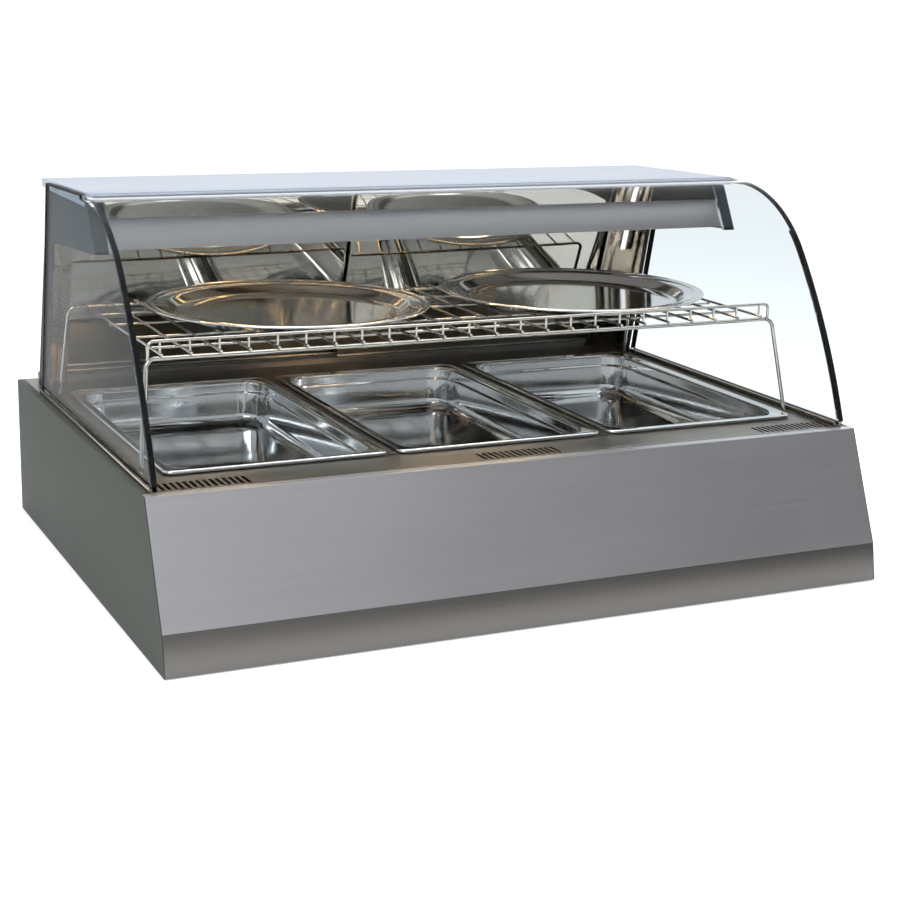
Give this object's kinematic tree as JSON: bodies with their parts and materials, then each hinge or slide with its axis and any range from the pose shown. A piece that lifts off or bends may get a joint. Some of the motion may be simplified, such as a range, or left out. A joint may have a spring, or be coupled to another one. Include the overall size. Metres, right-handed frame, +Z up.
{
  "type": "hot food display case",
  "caption": "Countertop heated food display case with curved lift-up front glass, full-size pans, a raised wire shelf with platters, a lit canopy and sliding rear doors",
  "frame": {"origin": "centre of the footprint, on the worktop", "axes": "+X to the customer's right, +Y to the staff side at the rear, +Z up"},
  "size_m": [1.11, 0.83, 0.566],
  "materials": {
    "brushed_panel": "satin, brushed",
    "dark_panel": "satin",
    "inner_steel": "satin",
    "galvanised": "dull",
    "deck_steel": "bright, brushed",
    "pan_steel": "polished",
    "rubber": "matt",
    "insulation": "fibrous",
    "element": "heat-stained",
    "track": "anodised",
    "post": "polished",
    "door_mirror": "mirror",
    "clear_glass": "clear",
    "roof_paint": "satin",
    "slate": "satin",
    "valance_steel": "brushed",
    "reflector": "polished",
    "ceramic": "glazed",
    "lamp_glass": "clear",
    "chrome": "polished",
    "black_plastic": "satin",
    "red_plastic": "gloss",
    "amber_plastic": "translucent",
    "side_glass": "clear",
    "kick_steel": "brushed",
    "silicone": "translucent",
    "plate": "brushed"
  },
  "bodies": {
    "case": {"base_pan": "galvanised", "foot_pads": "rubber", "kick_strip": "kick_steel", "front_panel": "brushed_panel", "left_end_panel": "dark_panel", "right_end_panel": "dark_panel", "rear_panel": "inner_steel", "deck_frame": "deck_steel", "well_liner": "inner_steel", "well_insulation": "insulation", "heating_elements": "element", "element_clips": "inner_steel", "left_pan_divider": "deck_steel", "right_pan_divider": "deck_steel", "rear_sill_track": "track", "top_door_track": "track", "left_rear_post": "post", "right_rear_post": "post", "left_side_glass": "side_glass", "right_side_glass": "side_glass", "left_glass_channel": "post", "right_glass_channel": "post", "left_side_seal": "rubber", "right_side_seal": "rubber", "glass_edge_trims": "chrome", "roof_panel": "roof_paint", "left_end_frame": "slate", "right_end_frame": "slate", "light_valance": "valance_steel", "lamp_reflector": "reflector", "lamp_holders": "ceramic", "lamp_tubes": "lamp_glass", "hinge_rail": "roof_paint", "hinge_rod": "chrome", "glass_bumpers": "silicone", "control_plate": "plate", "thermostat": "inner_steel", "rocker_housings": "black_plastic", "pilot_lamp": "amber_plastic", "power_inlet": "black_plastic", "case_screws": "chrome"},
    "glass_lid": {"front_glass": "clear_glass", "hinge_leaf": "roof_paint"},
    "left_door": {"left_door_pane": "door_mirror", "left_door_pull": "track"},
    "right_door": {"right_door_pane": "door_mirror", "right_door_pull": "track"},
    "pan_left": {"left_pan": "pan_steel"},
    "pan_centre": {"centre_pan": "pan_steel"},
    "pan_right": {"right_pan": "pan_steel"},
    "shelf": {"shelf_long_wires": "chrome", "shelf_cross_wires": "chrome", "shelf_guard_rail": "chrome", "shelf_front_hoop": "chrome", "shelf_rear_hoop": "chrome"},
    "platter_left": {"left_platter": "pan_steel"},
    "platter_right": {"right_platter": "pan_steel"},
    "knob": {"thermostat_knob": "black_plastic"},
    "rocker_power": {"power_rocker": "red_plastic"},
    "rocker_lamp": {"lamp_rocker": "red_plastic"}
  },
  "joints": [
    {"name": "glass_lift", "type": "hinge", "parent": "case", "child": "glass_lid", "pos_m": [0, 0.002, 0.5605], "axis": [-1, 0, 0], "range_deg": [0, 70]},
    {"name": "left_door_slide", "type": "slide", "parent": "case", "child": "left_door", "axis": [1, 0, 0], "range_m": [0, 0.5]},
    {"name": "right_door_slide", "type": "slide", "parent": "case", "child": "right_door", "axis": [-1, 0, 0], "range_m": [0, 0.5]},
    {"name": "left_pan_lift", "type": "slide", "parent": "case", "child": "pan_left", "axis": [0, 0, 1], "range_m": [0, 0.06]},
    {"name": "centre_pan_lift", "type": "slide", "parent": "case", "child": "pan_centre", "axis": [0, 0, 1], "range_m": [0, 0.06]},
    {"name": "right_pan_lift", "type": "slide", "parent": "case", "child": "pan_right", "axis": [0, 0, 1], "range_m": [0, 0.06]},
    {"name": "shelf_lift", "type": "slide", "parent": "case", "child": "shelf", "axis": [0, 0, 1], "range_m": [0, 0.04]},
    {"name": "left_platter_lift", "type": "slide", "parent": "shelf", "child": "platter_left", "axis": [0, 0, 1], "range_m": [0, 0.04]},
    {"name": "right_platter_lift", "type": "slide", "parent": "shelf", "child": "platter_right", "axis": [0, 0, 1], "range_m": [0, 0.04]},
    {"name": "thermostat_turn", "type": "hinge", "parent": "case", "child": "knob", "pos_m": [-0.405, 0.397, 0.115], "axis": [0, -1, 0], "range_deg": [0, 270]},
    {"name": "power_switch", "type": "hinge", "parent": "case", "child": "rocker_power", "pos_m": [-0.29, 0.4, 0.115], "axis": [-1, 0, 0], "range_deg": [0, 18]},
    {"name": "lamp_switch", "type": "hinge", "parent": "case", "child": "rocker_lamp", "pos_m": [-0.262, 0.4, 0.115], "axis": [-1, 0, 0], "range_deg": [0, 18]}
  ]
}
